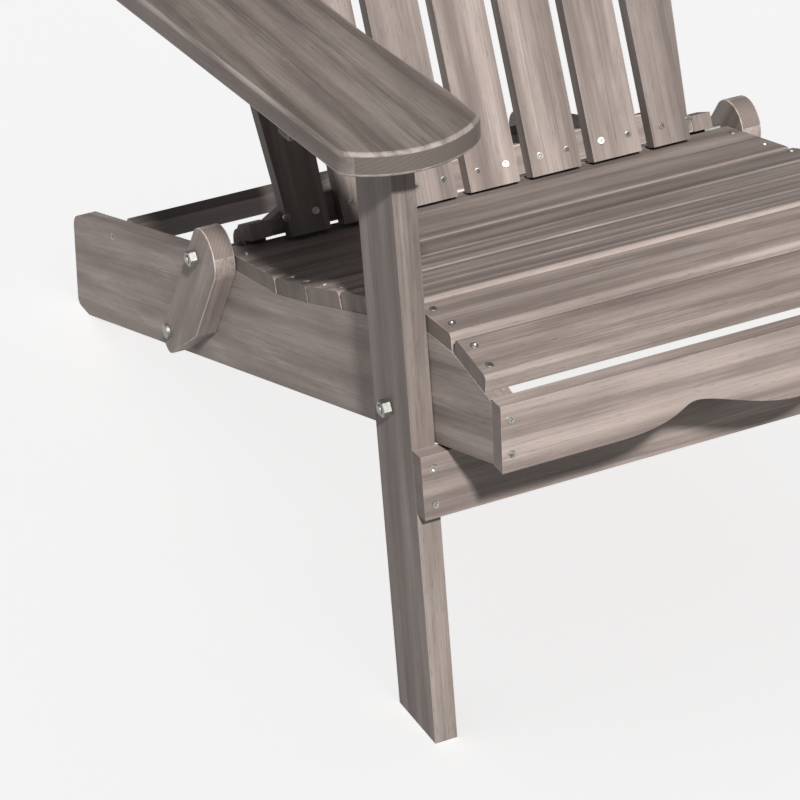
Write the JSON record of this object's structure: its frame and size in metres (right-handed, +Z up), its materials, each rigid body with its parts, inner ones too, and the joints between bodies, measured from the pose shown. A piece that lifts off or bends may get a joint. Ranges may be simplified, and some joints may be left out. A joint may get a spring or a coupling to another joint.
{
  "type": "folding adirondack chair",
  "caption": "Folding wooden garden chair with a scooped slatted seat, a tall leaning slatted back, broad flat arms and long rails that run down to the ground as rear feet.",
  "frame": {"origin": "on the floor, under the middle of the chair's footprint box", "axes": "+Z up, +X to the right of a sitter's left-to-right line seen from the front, -Y towards the front feet"},
  "size_m": [0.7172, 0.9812, 0.93],
  "materials": {
    "acacia": "grey-washed acacia, oiled, open streaky grain",
    "screw_steel": "zinc-plated countersunk screw heads, dulled",
    "bolt_steel": "galvanised steel bolts, washers and nuts"
  },
  "bodies": {
    "seat": {"seat_rail_left": "acacia", "seat_rail_right": "acacia", "rear_cross_bar": "acacia", "seat_slat_front": "acacia", "seat_slat_2": "acacia", "seat_slat_3": "acacia", "seat_slat_4": "acacia", "seat_slat_5": "acacia", "seat_slat_6": "acacia", "seat_board_rear": "acacia", "seat_screws": "screw_steel", "front_apron": "acacia", "apron_screws": "screw_steel", "bar_screws": "screw_steel", "leg_pivot_bolts": "bolt_steel", "leg_pivot_nuts": "bolt_steel", "link_pivot_bolts": "bolt_steel"},
    "legs": {"leg_left": "acacia", "leg_right": "acacia", "lower_stretcher": "acacia", "stretcher_screws": "screw_steel", "arm_front_bolts": "bolt_steel"},
    "left arm": {"arm_left": "acacia", "arm_block_left": "acacia", "arm_cleat_left": "acacia", "arm_bracket_left": "acacia"},
    "right arm": {"arm_right": "acacia", "arm_block_right": "acacia", "arm_cleat_right": "acacia", "arm_bracket_right": "acacia"},
    "left link": {"link_left": "acacia"},
    "right link": {"link_right": "acacia"},
    "back": {"back_slat_1": "acacia", "back_slat_2": "acacia", "back_slat_3": "acacia", "back_slat_4": "acacia", "back_slat_5": "acacia", "back_slat_6": "acacia", "back_slat_7": "acacia", "back_screws": "screw_steel", "back_rail_lower": "acacia", "back_rail_arm": "acacia", "back_rail_upper": "acacia", "back_cheek_left": "acacia", "back_cheek_right": "acacia", "back_pivot_bolts": "bolt_steel", "back_pivot_nuts": "bolt_steel", "arm_rear_bolts": "bolt_steel"}
  },
  "joints": [
    {"name": "legs_fold", "type": "hinge", "parent": "seat", "child": "legs", "pos_m": [0, -0.3355, 0.288], "axis": [1, 0, 0], "range_deg": [0, 50]},
    {"name": "left_link_swing", "type": "hinge", "parent": "seat", "child": "left link", "pos_m": [-0.269, 0.165, 0.124], "axis": [1, 0, 0], "range_deg": [-20.5, 0]},
    {"name": "right_link_swing", "type": "hinge", "parent": "seat", "child": "right link", "pos_m": [0.269, 0.165, 0.124], "axis": [1, 0, 0], "range_deg": [-20.5, 0]},
    {"name": "back_fold", "type": "hinge", "parent": "left link", "child": "back", "pos_m": [0, 0.075, 0.24], "axis": [1, 0, 0], "range_deg": [0, 68.5]},
    {"name": "left_arm_drop", "type": "hinge", "parent": "legs", "child": "left arm", "pos_m": [-0.2485, -0.307, 0.495], "axis": [1, 0, 0], "range_deg": [-43.5, 0]},
    {"name": "right_arm_drop", "type": "hinge", "parent": "legs", "child": "right arm", "pos_m": [0.2485, -0.307, 0.495], "axis": [1, 0, 0], "range_deg": [-43.5, 0]}
  ],
  "couplings": [
    {"joint": "left_link_swing", "follows": "legs_fold", "ratio": -0.4},
    {"joint": "right_link_swing", "follows": "legs_fold", "ratio": -0.4},
    {"joint": "back_fold", "follows": "legs_fold", "ratio": 1.36},
    {"joint": "left_arm_drop", "follows": "legs_fold", "ratio": -0.86},
    {"joint": "right_arm_drop", "follows": "legs_fold", "ratio": -0.86}
  ]
}
